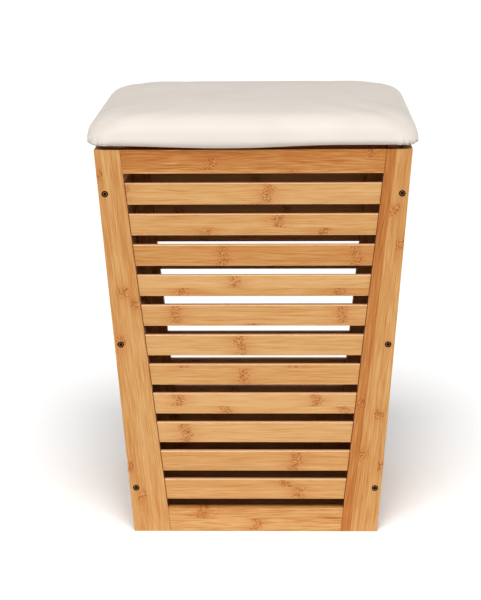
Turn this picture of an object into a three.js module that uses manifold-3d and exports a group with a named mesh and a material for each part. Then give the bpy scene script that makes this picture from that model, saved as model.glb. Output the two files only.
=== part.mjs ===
// A bamboo laundry hamper: a slatted box that tapers towards the floor, with a padded lid hinged at the back.
// Millimetres, +Z up, -Y is the front. The origin is on the floor, under the middle of the lid.
import * as THREE from "three";
import { mergeVertices } from "three/addons/utils/BufferGeometryUtils.js";
import Module from "manifold-3d";

const wasm = await Module();
wasm.setup();

// ---- Driving dimensions ----
const frameHeight = 515;
const topWidth = 395;
const topDepth = 374;
const leanRun = 37.5; // how far each of the four walls leans in, from top to floor
const memberThickness = 15; // stiles and rails
const topRailHeight = 30.3;
const slatCount = 11;
const slatHeight = 27.1;
const slatGap = 12.8;
const slatThickness = 9.6;
const slatRecess = 1.5; // slat faces sit behind the faces of the stiles
const frontStileTopWidth = 32;
const frontStileBaseWidth = 48;
const sideStileTopWidth = 24;
const sideStileBaseWidth = 36;
const glueGap = 0.2; // at a shoulder, and around a tongue in its mortise
const panelGap = 0.3; // between two neighbouring panels
const tongueLength = 9;
const tongueThickness = 5;
const tongueShoulder = 4; // the tongue is this much lower than its slat at top and bottom
const baseThickness = 9;
const baseTop = 20;
const baseGap = 0.5;
const cleatSize = 9.5;
const cleatLength = 230;
const lidWidth = 412;
const lidDepth = 384;
const lidCornerRadius = { base: 28, top: 50 };
const lidCornerBlend = 22; // the height over which the corners grow fuller
const cornerSteps = 6;
const lidLift = 4.3; // the shadow gap between the frame and the lid
const lidHeight = 40.2;
const lidTopRound = { inset: 34, height: 31 };
const lidBottomRound = 6;
const coverThickness = 1.5;
const hemWidth = 32;
const lidBoardThickness = 9;
const screwInset = 8; // from the outer edge of a stile
const screwHeights = [61.8, 260.4, 458.8];
const screwHeadRadius = 4;
const screwSink = 0.5; // how far the head sits below the face
const screwHeadLength = 4.5;
const screwShankRadius = 2;
const screwLength = 38;
const screwClearance = 0.2;
const hingeX = 118;
const hingeWidth = 40;
const hingeLeafLength = 22;
const hingeLeafThickness = 1.2;
const hingeAxis = { y: topDepth / 2 + 2.6, z: frameHeight + 2 };
const barrelRadius = 2.4;
const pinRadius = 1.2;
const pinClearance = 0.07;
const knuckleWidth = 13.4; // the middle knuckle, which belongs to the lid leaf
const knuckleGap = 0.3;

// ---- Derived dimensions ----
const lean = leanRun / frameHeight;
const leanAngle = Math.atan(lean);
const baseHalfWidth = topWidth / 2 - leanRun;
const baseHalfDepth = topDepth / 2 - leanRun;
const slatPitch = slatHeight + slatGap;
const bottomRailHeight = frameHeight - topRailHeight - slatGap - slatCount * slatPitch;
const sideOuterBase = baseHalfDepth - memberThickness - panelGap;
const sideOuterTop = sideOuterBase + leanRun;

// ---- Materials ----
function finish(color, roughness, metalness = 0) {
  return new THREE.MeshStandardMaterial({ color, roughness, metalness });
}
const bambooStile = finish(0xdca364, 0.55);
const bambooRail = finish(0xcf9355, 0.55);
const bambooSlat = finish(0xe2b072, 0.55);
const plywood = finish(0xc79a63, 0.7);
const foam = finish(0xf0e6c8, 0.95);
const fabric = finish(0xf1e9dd, 0.9);
const bronze = finish(0x4a3524, 0.4, 0.8);
const steel = finish(0xb8b4aa, 0.35, 0.9);

// ---- Solids ----
function toSolid(geometry) {
  const bare = geometry.index ? geometry.toNonIndexed() : geometry.clone();
  bare.deleteAttribute("normal");
  bare.deleteAttribute("uv");
  const merged = mergeVertices(bare, 1e-4);
  const mesh = new wasm.Mesh({
    numProp: 3,
    vertProperties: new Float32Array(merged.attributes.position.array),
    triVerts: new Uint32Array(merged.index.array),
  });
  return new wasm.Manifold(mesh);
}

function toGeometry(solid) {
  const mesh = solid.getMesh();
  const geometry = new THREE.BufferGeometry();
  geometry.setAttribute("position", new THREE.BufferAttribute(mesh.vertProperties, 3));
  geometry.setIndex(new THREE.BufferAttribute(mesh.triVerts, 1));
  const faceted = geometry.toNonIndexed();
  faceted.computeVertexNormals();
  return faceted;
}

function addMesh(group, name, solid, material) {
  const mesh = new THREE.Mesh(toGeometry(solid), material);
  mesh.name = name;
  group.add(mesh);
  return mesh;
}

function joined(solids) {
  return solids.reduce((sum, solid) => sum.add(solid));
}

// A box between two corners.
function block(low, high) {
  const size = high.map((value, axis) => value - low[axis]);
  const geometry = new THREE.BoxGeometry(...size);
  geometry.translate(...low.map((value, axis) => value + size[axis] / 2));
  return toSolid(geometry);
}

// A round bar from a point along a direction.
function bar(start, direction, radius, length, sides = 24) {
  const geometry = new THREE.CylinderGeometry(radius, radius, length, sides);
  geometry.translate(0, length / 2, 0);
  const turn = new THREE.Quaternion().setFromUnitVectors(
    new THREE.Vector3(0, 1, 0),
    new THREE.Vector3(...direction).normalize(),
  );
  geometry.applyQuaternion(turn);
  geometry.translate(...start);
  return toSolid(geometry);
}

// ---- Wall panels ----
// A panel is drawn as seen from outside: u runs to the right, z up, and w is the depth behind its outer face.
// In the panel's own group the outer face leans with height, at y = -(baseHalf + lean * z).
function plank(panel, outline, depthFrom, depthTo) {
  const shape = new THREE.Shape(outline.map(([u, z]) => new THREE.Vector2(u, z)));
  const geometry = new THREE.ExtrudeGeometry(shape, {
    depth: depthTo - depthFrom,
    bevelEnabled: false,
  });
  const place = new THREE.Matrix4().set(
    1, 0, 0, 0,
    0, -lean, -1, depthTo - panel.baseHalf,
    0, 1, 0, 0,
    0, 0, 0, 1,
  );
  geometry.applyMatrix4(place);
  return toSolid(geometry);
}

// Half the width of the opening between the stiles, at height z.
function innerHalf(panel, z) {
  const share = z / frameHeight;
  return panel.innerBase + (panel.innerTop - panel.innerBase) * share;
}

// A level strip between the stiles, which reaches past the opening by `reach` at each end.
function strip(panel, zLow, zHigh, reach, depthFrom, depthTo) {
  const low = innerHalf(panel, zLow) + reach;
  const high = innerHalf(panel, zHigh) + reach;
  const outline = [[-low, zLow], [low, zLow], [high, zHigh], [-high, zHigh]];
  return plank(panel, outline, depthFrom, depthTo);
}

// The tongue bar of a member: it runs the member's whole length and stands out at both ends.
function tongueBar(panel, member, clearance) {
  const middle = (member.depthFrom + member.depthTo) / 2;
  const half = tongueThickness / 2 + clearance;
  return strip(
    panel,
    member.zLow + tongueShoulder - clearance,
    member.zHigh - tongueShoulder + clearance,
    tongueLength + clearance,
    middle - half,
    middle + half,
  );
}

function crossMember(panel, member) {
  const body = strip(panel, member.zLow, member.zHigh, -glueGap, member.depthFrom, member.depthTo);
  return body.add(tongueBar(panel, member, 0));
}

// A thin upright tie, hidden inside a stile, that links the tongues of a set of slats.
function slatTie(panel, side, members, clearance) {
  const last = members[members.length - 1];
  const zLow = members[0].zLow + tongueShoulder - clearance;
  const zHigh = last.zHigh - tongueShoulder + clearance;
  const near = tongueLength - 4 - clearance;
  const far = tongueLength + clearance;
  const middle = (last.depthFrom + last.depthTo) / 2;
  const half = tongueThickness / 2 + clearance;
  const outline = [
    [side * (innerHalf(panel, zLow) + near), zLow],
    [side * (innerHalf(panel, zLow) + far), zLow],
    [side * (innerHalf(panel, zHigh) + far), zHigh],
    [side * (innerHalf(panel, zHigh) + near), zHigh],
  ];
  return plank(panel, outline, middle - half, middle + half);
}

function stile(panel, side, members) {
  const outline = [
    [side * panel.innerBase, 0],
    [side * panel.outerBase, 0],
    [side * panel.outerTop, frameHeight],
    [side * panel.innerTop, frameHeight],
  ];
  const mortises = members.map((member) => tongueBar(panel, member, glueGap));
  return plank(panel, outline, 0, memberThickness).subtract(joined(mortises));
}

function panelMembers() {
  const rail = { depthFrom: 0, depthTo: memberThickness };
  const slat = { depthFrom: slatRecess, depthTo: slatRecess + slatThickness };
  const bottomRail = { zLow: 0, zHigh: bottomRailHeight, ...rail };
  const topRail = { zLow: frameHeight - topRailHeight, zHigh: frameHeight, ...rail };
  const slats = [];
  for (let i = 0; i < slatCount; i += 1) {
    const zLow = bottomRailHeight + slatGap + i * slatPitch;
    slats.push({ zLow, zHigh: zLow + slatHeight, ...slat });
  }
  return { bottomRail, topRail, slats };
}

// Where a corner screw starts, in the group of the front or back panel, and the way it points.
const screwDirection = [0, Math.cos(leanAngle), Math.sin(leanAngle)];
function screwStart(panel, side, z) {
  return [side * (baseHalfWidth + lean * z - screwInset), -(panel.baseHalf + lean * z), z];
}

function screwHole(panel, side, z) {
  const start = screwStart(panel, side, z);
  const headRadius = screwHeadRadius + screwClearance;
  const headDepth = screwSink + screwHeadLength + screwClearance;
  const back = start.map((value, axis) => value - screwDirection[axis]);
  const seat = bar(back, screwDirection, headRadius, headDepth + 1);
  return seat.add(bar(start, screwDirection, screwShankRadius + screwClearance, screwLength + 1));
}

// The same hole as it enters the front or back edge of a side panel's stile, in that panel's group.
function edgeHole(panel, side, z) {
  const reach = baseHalfDepth + lean * z;
  const start = [side * reach, -(panel.baseHalf + lean * z) + screwInset, z];
  const inward = [-side * screwDirection[1], 0, screwDirection[2]];
  return bar(start, inward, screwShankRadius + screwClearance, screwLength + 1);
}

// Front and back panels: two stiles with screw holes, two rails and separate slats.
function buildFacePanel(prefix, turn, sideNames) {
  const group = new THREE.Group();
  group.rotation.z = turn;
  const panel = {
    baseHalf: baseHalfDepth,
    outerBase: baseHalfWidth,
    outerTop: topWidth / 2,
    innerBase: baseHalfWidth - frontStileBaseWidth,
    innerTop: topWidth / 2 - frontStileTopWidth,
  };
  const { bottomRail, topRail, slats } = panelMembers();
  for (const side of [-1, 1]) {
    const holes = screwHeights.map((z) => screwHole(panel, side, z));
    const body = stile(panel, side, [bottomRail, topRail, ...slats]).subtract(joined(holes));
    addMesh(group, `${prefix}_${sideNames[side]}_stile`, body, bambooStile);
  }
  addMesh(group, `${prefix}_top_rail`, crossMember(panel, topRail), bambooRail);
  addMesh(group, `${prefix}_bottom_rail`, crossMember(panel, bottomRail), bambooRail);
  slats.forEach((slat, i) => {
    const number = String(slatCount - i).padStart(2, "0");
    addMesh(group, `${prefix}_slat_${number}`, crossMember(panel, slat), bambooSlat);
  });
  return { group, panel };
}

// Side panels: they stand between the front and back panels. Their slats are one linked set.
function buildSidePanel(prefix, turn, sideNames) {
  const group = new THREE.Group();
  group.rotation.z = turn;
  const panel = {
    baseHalf: baseHalfWidth,
    outerBase: sideOuterBase,
    outerTop: sideOuterTop,
    innerBase: sideOuterBase - sideStileBaseWidth,
    innerTop: sideOuterTop - sideStileTopWidth,
  };
  const { bottomRail, topRail, slats } = panelMembers();
  for (const side of [-1, 1]) {
    const holes = screwHeights.map((z) => edgeHole(panel, side, z));
    const body = stile(panel, side, [bottomRail, topRail, ...slats])
      .subtract(slatTie(panel, side, slats, glueGap))
      .subtract(joined(holes));
    addMesh(group, `${prefix}_${sideNames[side]}_stile`, body, bambooStile);
  }
  addMesh(group, `${prefix}_top_rail`, crossMember(panel, topRail), bambooRail);
  addMesh(group, `${prefix}_bottom_rail`, crossMember(panel, bottomRail), bambooRail);
  const ties = [-1, 1].map((side) => slatTie(panel, side, slats, 0));
  const holes = [-1, 1].flatMap((side) => screwHeights.map((z) => edgeHole(panel, side, z)));
  const set = joined([...slats.map((slat) => crossMember(panel, slat)), ...ties]);
  addMesh(group, `${prefix}_slats`, set.subtract(joined(holes)), bambooSlat);
  return group;
}

// ---- Corner screws ----
function screwSolid() {
  const neck = screwHeadLength - 1.5;
  const profile = [
    [0, 0],
    [screwHeadRadius, 0],
    [screwHeadRadius, 0.8],
    [screwShankRadius, neck],
    [screwShankRadius, screwLength - 4],
    [0, screwLength],
  ];
  const points = profile.map(([radius, along]) => new THREE.Vector2(radius, along));
  const body = toSolid(new THREE.LatheGeometry(points.reverse(), 20));
  const solid = body.volume() < 0 ? toSolid(new THREE.LatheGeometry(points.reverse(), 20)) : body;
  const socket = bar([0, -1, 0], [0, 1, 0], 1.9, 3, 6);
  return solid.subtract(socket);
}

function buildScrews(panel, group, sideNames) {
  const heightNames = ["bottom", "middle", "top"];
  for (const side of [-1, 1]) {
    screwHeights.forEach((z, i) => {
      const name = `front_screw_${sideNames[side]}_${heightNames[i]}`;
      const mesh = addMesh(group, name, screwSolid(), bronze);
      const start = screwStart(panel, side, z);
      mesh.position.set(...start.map((value, axis) => value + screwSink * screwDirection[axis]));
      mesh.rotation.x = leanAngle;
    });
  }
}

// ---- Base ----
function buildBase() {
  const group = new THREE.Group();
  const boardLow = baseTop - baseThickness;
  const halfX = baseHalfWidth + lean * boardLow - memberThickness - baseGap;
  const halfY = baseHalfDepth + lean * boardLow - memberThickness - baseGap;
  const board = block([-halfX, -halfY, boardLow], [halfX, halfY, baseTop]);
  addMesh(group, "base_board", board, plywood);
  const cleatTop = boardLow - panelGap;
  const cleatOut = baseHalfDepth - memberThickness - baseGap;
  for (const [name, side] of [["front", -1], ["back", 1]]) {
    const edges = [side * cleatOut, side * (cleatOut - cleatSize)].sort((a, b) => a - b);
    const low = [-cleatLength / 2, edges[0], cleatTop - cleatSize];
    const high = [cleatLength / 2, edges[1], cleatTop];
    addMesh(group, `base_cleat_${name}`, block(low, high), bambooRail);
  }
  return group;
}

// ---- Lid ----
// One level outline of the pad: a rectangle with rounded corners, `inset` inside the pad's widest line.
// The corners are tighter low down, where the cover is pulled around the board, and fuller higher up.
function padRing(inset, height, z) {
  const share = Math.min(1, height / lidCornerBlend);
  const radius = lidCornerRadius.base + (lidCornerRadius.top - lidCornerRadius.base) * share;
  const x = lidWidth / 2 - inset - radius;
  const y = lidDepth / 2 - inset - radius;
  const corners = [[x, y], [-x, y], [-x, -y], [x, -y]];
  return corners.flatMap(([cornerX, cornerY], corner) =>
    Array.from({ length: cornerSteps + 1 }, (_, step) => {
      const angle = (corner + step / cornerSteps) * (Math.PI / 2);
      return [cornerX + radius * Math.cos(angle), cornerY + radius * Math.sin(angle), z];
    }),
  );
}

// A closed skin through a stack of rings, with a flat cap at each end.
function loft(rings) {
  const count = rings[0].length;
  const triangles = [];
  const middleOf = (ring) => [0, 0, ring[0][2]];
  rings.slice(1).forEach((upper, level) => {
    const lower = rings[level];
    for (let i = 0; i < count; i += 1) {
      const next = (i + 1) % count;
      triangles.push(lower[i], lower[next], upper[next], lower[i], upper[next], upper[i]);
    }
  });
  const bottom = rings[0];
  const top = rings[rings.length - 1];
  for (let i = 0; i < count; i += 1) {
    const next = (i + 1) % count;
    triangles.push(middleOf(bottom), bottom[next], bottom[i]);
    triangles.push(middleOf(top), top[i], top[next]);
  }
  const geometry = new THREE.BufferGeometry();
  geometry.setAttribute("position", new THREE.Float32BufferAttribute(triangles.flat(), 3));
  return toSolid(geometry);
}

// The padded shape, made smaller all round by `inset`: a large round edge above and a small one below.
function padSolid(inset) {
  const zLow = frameHeight + lidLift;
  const quarter = (steps) => Array.from({ length: steps + 1 }, (_, i) => (i / steps) * (Math.PI / 2));
  const small = lidBottomRound - inset;
  const wide = lidTopRound.inset - inset;
  const tall = lidTopRound.height - inset;
  const lower = quarter(3).map((angle) => ({
    inset: inset + small * (1 - Math.sin(angle)),
    height: lidBottomRound - small * Math.cos(angle),
  }));
  const upper = quarter(6).map((angle) => ({
    inset: inset + wide * (1 - Math.cos(angle)),
    height: lidHeight - lidTopRound.height + tall * Math.sin(angle),
  }));
  return loft([...lower, ...upper].map((ring) => padRing(ring.inset, ring.height, zLow + ring.height)));
}

function buildLid() {
  const group = new THREE.Group();
  const far = lidWidth;
  const openX = lidWidth / 2 - hemWidth;
  const openY = lidDepth / 2 - hemWidth;
  const underside = frameHeight + lidLift;
  const opening = block([-openX, -openY, underside - 1], [openX, openY, underside + coverThickness + 1]);
  const cover = padSolid(0).subtract(padSolid(coverThickness)).subtract(opening);
  addMesh(group, "lid_cover", cover, fabric);
  const core = padSolid(coverThickness + panelGap);
  const boardTop = underside + coverThickness + panelGap + lidBoardThickness;
  const aboveBoard = block([-far, -far, boardTop], [far, far, frameHeight * 2]);
  const belowFoam = block([-far, -far, 0], [far, far, boardTop + panelGap]);
  addMesh(group, "lid_board", core.subtract(aboveBoard), plywood);
  addMesh(group, "lid_foam", core.subtract(belowFoam), foam);
  return group;
}

// ---- Hinges ----
// Each hinge is drawn in a group whose origin is the middle of its axis, which runs along X.
function barrelBar(from, to, radius) {
  return bar([from, 0, 0], [1, 0, 0], radius, to - from);
}

function buildHinge(prefix, x) {
  const group = new THREE.Group();
  group.position.set(x, hingeAxis.y, hingeAxis.z);
  const half = hingeWidth / 2;
  const middle = knuckleWidth / 2;
  const clearRadius = barrelRadius + knuckleGap;
  const bore = barrelBar(-half - 1, half + 1, pinRadius + pinClearance);

  // The frame leaf lies on the leaning back face of the top rail.
  const faceAtAxis = topDepth / 2 + lean * (hingeAxis.z - frameHeight) - hingeAxis.y + panelGap;
  const leafTop = -1;
  const leafLow = leafTop - hingeLeafLength;
  const shape = new THREE.Shape([
    new THREE.Vector2(faceAtAxis + lean * leafLow, leafLow),
    new THREE.Vector2(faceAtAxis + lean * leafLow + hingeLeafThickness, leafLow),
    new THREE.Vector2(faceAtAxis + lean * leafTop + hingeLeafThickness, leafTop),
    new THREE.Vector2(faceAtAxis + lean * leafTop, leafTop),
  ]);
  const plate = new THREE.ExtrudeGeometry(shape, { depth: hingeWidth, bevelEnabled: false });
  plate.applyMatrix4(
    new THREE.Matrix4().set(0, 0, 1, -half, 1, 0, 0, 0, 0, 1, 0, 0, 0, 0, 0, 1),
  );
  const knuckleRoom = barrelBar(-middle - knuckleGap, middle + knuckleGap, clearRadius);
  const frameLeaf = toSolid(plate)
    .subtract(knuckleRoom)
    .add(barrelBar(-half, -middle - knuckleGap, barrelRadius))
    .add(barrelBar(middle + knuckleGap, half, barrelRadius))
    .subtract(bore);
  addMesh(group, `${prefix}_hinge_frame_leaf`, frameLeaf, steel);

  // The lid leaf lies flat under the lid, and its one knuckle sits between the other two.
  const lidLeafTop = frameHeight + lidLift - panelGap - hingeAxis.z;
  const flat = block([-half, -hingeLeafLength, lidLeafTop - hingeLeafThickness], [half, 0, lidLeafTop]);
  const lidLeaf = flat
    .subtract(barrelBar(-half - 1, -middle, clearRadius))
    .subtract(barrelBar(middle, half + 1, clearRadius))
    .add(barrelBar(-middle, middle, barrelRadius))
    .subtract(bore);
  addMesh(group, `${prefix}_hinge_lid_leaf`, lidLeaf, steel);

  addMesh(group, `${prefix}_hinge_pin`, barrelBar(-half - 0.4, half + 0.4, pinRadius), steel);
  return group;
}

// ---- The hamper ----
const hamper = new THREE.Group();
const fromFront = { "-1": "left", 1: "right" };
const fromBack = { "-1": "right", 1: "left" };
const front = buildFacePanel("front", 0, fromFront);
buildScrews(front.panel, front.group, fromFront);
hamper.add(front.group);
hamper.add(buildFacePanel("back", Math.PI, fromBack).group);
hamper.add(buildSidePanel("right", Math.PI / 2, { "-1": "front", 1: "back" }));
hamper.add(buildSidePanel("left", -Math.PI / 2, { "-1": "back", 1: "front" }));
hamper.add(buildBase());
hamper.add(buildLid());
hamper.add(buildHinge("left", -hingeX));
hamper.add(buildHinge("right", hingeX));

export default hamper;
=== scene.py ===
"""Looks of a slatted bamboo laundry hamper with a padded lid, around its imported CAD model.

Metres, +Z up, front at -Y.
"""

import math
import random

import bmesh
import bpy
from mathutils import Matrix, Vector


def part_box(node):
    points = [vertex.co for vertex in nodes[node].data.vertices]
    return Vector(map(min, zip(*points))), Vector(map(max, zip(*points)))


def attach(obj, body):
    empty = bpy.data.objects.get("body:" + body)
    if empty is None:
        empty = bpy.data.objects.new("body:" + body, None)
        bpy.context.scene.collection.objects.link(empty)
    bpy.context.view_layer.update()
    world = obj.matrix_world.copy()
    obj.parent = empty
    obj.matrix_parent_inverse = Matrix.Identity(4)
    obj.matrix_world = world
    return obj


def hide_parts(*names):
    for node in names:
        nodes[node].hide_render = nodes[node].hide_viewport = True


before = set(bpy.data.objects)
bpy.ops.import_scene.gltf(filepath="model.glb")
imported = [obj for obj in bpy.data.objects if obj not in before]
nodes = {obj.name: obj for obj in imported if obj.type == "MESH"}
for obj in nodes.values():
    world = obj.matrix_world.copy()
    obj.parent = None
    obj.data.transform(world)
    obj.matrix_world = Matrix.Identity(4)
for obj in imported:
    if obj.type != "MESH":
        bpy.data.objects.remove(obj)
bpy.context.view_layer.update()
MM = 0.001
X_AXIS, Y_AXIS, Z_AXIS = Vector((1, 0, 0)), Vector((0, 1, 0)), Vector((0, 0, 1))
DOWN = Vector((0, 0, -1))

# ---------------------------------------------------------------- places read from the frame

SAME_LEVEL = 0.1 * MM  # corners nearer than this to a face lie on it


def end_points(name, top):
    """The corners of a node's upper or lower end face."""
    low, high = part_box(name)
    level = high.z if top else low.z
    return [v.co for v in nodes[name].data.vertices if abs(v.co.z - level) < SAME_LEVEL]


def end_centre(name, top):
    """The middle of a node's upper or lower end face."""
    points = end_points(name, top)
    return sum(points, Vector()) / len(points)


def inner_edge(name, level, outward):
    """The upper and lower ends of the edge of a stile's outer face that is nearer to the middle of its panel.
    `level` is the direction across the panel."""
    ends = []
    for top in (True, False):
        points = end_points(name, top)
        ends.append(min(points, key=lambda p: (round(abs(p.dot(level)), 4), -p.dot(outward))))
    return ends


lid_low, lid_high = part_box("lid_cover")
half_width, half_depth = lid_high.x, lid_high.y
lid_height = lid_high.z - lid_low.z
frame_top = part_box("front_top_rail")[1].z
rail_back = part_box("back_top_rail")[1].y
stile_axis = end_centre("front_left_stile", True) - end_centre("front_left_stile", False)
LEAN = math.atan2(-stile_axis.y, stile_axis.z)
OUTWARD = {
    "front": Vector((0, -math.cos(LEAN), -math.sin(LEAN))),
    "back": Vector((0, math.cos(LEAN), -math.sin(LEAN))),
    "left": Vector((-math.cos(LEAN), 0, -math.sin(LEAN))),
    "right": Vector((math.cos(LEAN), 0, -math.sin(LEAN))),
}

# ---------------------------------------------------------------- pieces and their edges

WELD_DISTANCE = 0.005 * MM
FLAT_ANGLE = math.radians(1)  # faces that meet at less than this are one face
EASED_ANGLE = math.radians(30)  # edges sharper than this are rounded
EASED_SEGMENTS = 2


def new_piece(name, bm):
    """A new object whose mesh is what `bm` holds. It frees `bm`."""
    mesh = bpy.data.meshes.new(name)
    bm.to_mesh(mesh)
    bm.free()
    piece = bpy.data.objects.new(name, mesh)
    bpy.context.scene.collection.objects.link(piece)
    return piece


def join_rings(bm, rings):
    """Walls from each ring of vertices to the next, and a cap on each end."""
    for lower, upper in zip(rings, rings[1:]):
        for i in range(len(lower)):
            j = (i + 1) % len(lower)
            bm.faces.new((lower[i], lower[j], upper[j], upper[i]))
    bm.faces.new(rings[-1])
    bm.faces.new(list(reversed(rings[0])))


def bake(piece, modifier_kind=None, **settings):
    """Adds one modifier if it is named, then makes the piece's modifiers part of its mesh."""
    if modifier_kind:
        modifier = piece.modifiers.new(modifier_kind.lower(), modifier_kind)
        for key, value in settings.items():
            setattr(modifier, key, value)
    graph = bpy.context.evaluated_depsgraph_get()
    mesh = bpy.data.meshes.new_from_object(piece.evaluated_get(graph))
    piece.modifiers.clear()
    piece.data = mesh


def smooth_faces(piece):
    """Shades every face of the piece smooth."""
    for polygon in piece.data.polygons:
        polygon.use_smooth = True


def put(piece, *materials):
    """The piece's materials. A second one is for its eased edges."""
    piece.data.materials.clear()
    for material in materials:
        piece.data.materials.append(material)


def ease_edges(piece, width):
    """Rounds a piece's edges with modifiers. Its own mesh keeps its shape."""
    custom = piece.data.attributes.get("custom_normal")
    if custom:
        piece.data.attributes.remove(custom)
    smooth_faces(piece)
    weld = piece.modifiers.new("weld", "WELD")
    weld.merge_threshold = WELD_DISTANCE
    merge = piece.modifiers.new("merge flat faces", "DECIMATE")
    merge.decimate_type = "DISSOLVE"
    merge.angle_limit = FLAT_ANGLE
    bevel = piece.modifiers.new("eased edges", "BEVEL")
    bevel.width = width
    bevel.segments = EASED_SEGMENTS
    bevel.limit_method = "ANGLE"
    bevel.angle_limit = EASED_ANGLE
    bevel.harden_normals = True
    if len(piece.data.materials) > 1:
        bevel.material = 1


# ---------------------------------------------------------------- material helpers


def srgb(red, green, blue):
    """An 8-bit sRGB colour as the linear colour, with alpha, that shaders use."""

    def linear(value):
        share = value / 255
        return share / 12.92 if share <= 0.04045 else ((share + 0.055) / 1.055) ** 2.4

    return (linear(red), linear(green), linear(blue), 1.0)


class Shader:
    """A new material, with short calls for building its nodes. A value is a plain one or a node's output."""

    def __init__(self, name, roughness, metallic=0.0):
        self.material = bpy.data.materials.new(name)
        self.material.use_nodes = True
        self.tree = self.material.node_tree
        self.surface = self.tree.nodes["Principled BSDF"]
        self.surface.inputs["Roughness"].default_value = roughness
        self.surface.inputs["Metallic"].default_value = metallic

    def feed(self, socket, value):
        """Links the socket to a node's output, or sets it to a plain value."""
        if isinstance(value, bpy.types.NodeSocket):
            self.tree.links.new(value, socket)
        else:
            socket.default_value = value

    def node(self, kind, *values, **settings):
        """A node with these settings, its first inputs fed with the values."""
        made = self.tree.nodes.new("ShaderNode" + kind)
        for key, value in settings.items():
            setattr(made, key, value)
        for socket, value in zip(made.inputs, values):
            self.feed(socket, value)
        return made

    def place(self):
        """The place on the piece, in metres."""
        return self.node("TexCoord").outputs["Object"]

    def normal(self):
        """The direction that the surface faces."""
        return self.node("TexCoord").outputs["Normal"]

    def math(self, operation, *values):
        """The result of one operation on plain values."""
        return self.node("Math", *values, operation=operation).outputs[0]

    def add(self, first, *others):
        for other in others:
            first = self.math("ADD", first, other)
        return first

    def minus(self, first, second):
        return self.math("SUBTRACT", first, second)

    def times(self, first, second):
        return self.math("MULTIPLY", first, second)

    def over(self, first, second):
        return self.math("DIVIDE", first, second)

    def size(self, value):
        return self.math("ABSOLUTE", value)

    def blend(self, share, first, second):
        """The first value where share is 0, and the second where it is 1."""
        return self.add(self.times(second, share), self.times(first, self.minus(1.0, share)))

    def vector(self, operation, *values):
        """The node of one operation on vectors."""
        return self.node("VectorMath", *values, operation=operation)

    def dot(self, first, second):
        return self.vector("DOT_PRODUCT", first, second).outputs["Value"]

    def join(self, x, y, z):
        return self.node("CombineXYZ", x, y, z).outputs[0]

    def split(self, vector):
        return self.node("SeparateXYZ", vector).outputs

    def stretched(self, scales):
        """The place on the piece, with each of its three coordinates multiplied by a scale."""
        place = self.split(self.place())
        return self.join(*[self.times(value, scale) for value, scale in zip(place, scales)])

    def noise(self, vector, scale=1.0, detail=2.0, roughness=0.5, distortion=0.0):
        """Noise from 0 to 1, with about `scale` features to a unit of the vector."""
        made = self.tree.nodes.new("ShaderNodeTexNoise")
        self.feed(made.inputs["Vector"], vector)
        self.feed(made.inputs["Scale"], scale)
        self.feed(made.inputs["Detail"], detail)
        self.feed(made.inputs["Roughness"], roughness)
        self.feed(made.inputs["Distortion"], distortion)
        return made.outputs["Fac"]

    def span(self, value, low, high, to_low=0.0, to_high=1.0, smooth=False):
        """The value, stretched so that low..high becomes to_low..to_high, and held at its ends."""
        made = self.node("MapRange", value, low, high, to_low, to_high)
        made.interpolation_type = "SMOOTHSTEP" if smooth else "LINEAR"
        return made.outputs[0]

    def ramp(self, value, *stops):
        """A colour for each value, from stops of (position, colour)."""
        made = self.node("ValToRGB", value)
        elements = made.color_ramp.elements
        while len(elements) < len(stops):
            elements.new(0.5)
        for element, (position, colour) in zip(elements, stops):
            element.position = position
            element.color = colour
        return made.outputs[0]

    def mix(self, share, first, second):
        """The first colour where share is 0, and the second where it is 1."""
        made = self.tree.nodes.new("ShaderNodeMix")
        made.data_type = "RGBA"
        self.feed(made.inputs["Factor"], share)
        for socket, value in zip([s for s in made.inputs if s.type == "RGBA"], (first, second)):
            self.feed(socket, value)
        return next(s for s in made.outputs if s.type == "RGBA")

    def colour(self, value):
        """Gives the surface its colour."""
        self.feed(self.surface.inputs["Base Color"], value)

    def roughness(self, value):
        """Gives the surface its roughness."""
        self.feed(self.surface.inputs["Roughness"], value)

    def bump(self, height, distance, strength):
        """Bumps the surface. A height of 1 stands for `distance`."""
        made = self.tree.nodes.new("ShaderNodeBump")
        made.inputs["Strength"].default_value = strength
        made.inputs["Distance"].default_value = distance
        self.feed(made.inputs["Height"], height)
        self.tree.links.new(made.outputs[0], self.surface.inputs["Normal"])


# ---------------------------------------------------------------- bamboo

BAMBOO_DARK = srgb(168, 104, 44)
BAMBOO_DEEP = srgb(187, 129, 68)
BAMBOO_MID = srgb(197, 151, 96)
BAMBOO_PALE = srgb(205, 163, 112)
BAMBOO_LIGHT = srgb(213, 178, 131)
BAMBOO_TONES = (
    (0.24, BAMBOO_DARK),
    (0.38, BAMBOO_DEEP),
    (0.49, BAMBOO_MID),
    (0.57, BAMBOO_PALE),
    (0.70, BAMBOO_LIGHT),
)
KNOT_DARK = srgb(153, 91, 37)
KNOT_HALO = srgb(185, 119, 58)
# Painted highlight for the slats' upper faces and eased edges, and painted shade for the edges across the
# slats' ends.
EDGE_HIGHLIGHT = srgb(236, 202, 164)
END_SHADE = srgb(172, 116, 64)

# The streaks of the grain: their noise's size along and across it, its detail, and its weight in the tone.
STREAKS = {
    "dashes": {"length": 38 * MM, "width": 1.3 * MM, "detail": 2.0, "weight": 0.42},
    "fibres": {"length": 45 * MM, "width": 0.6 * MM, "detail": 1.0, "weight": 0.30},
    "bands": {"length": 160 * MM, "width": 3.2 * MM, "detail": 2.0, "weight": 0.18},
    "drift": {"length": 300 * MM, "width": 14 * MM, "detail": 1.0, "weight": 0.14},
}
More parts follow.
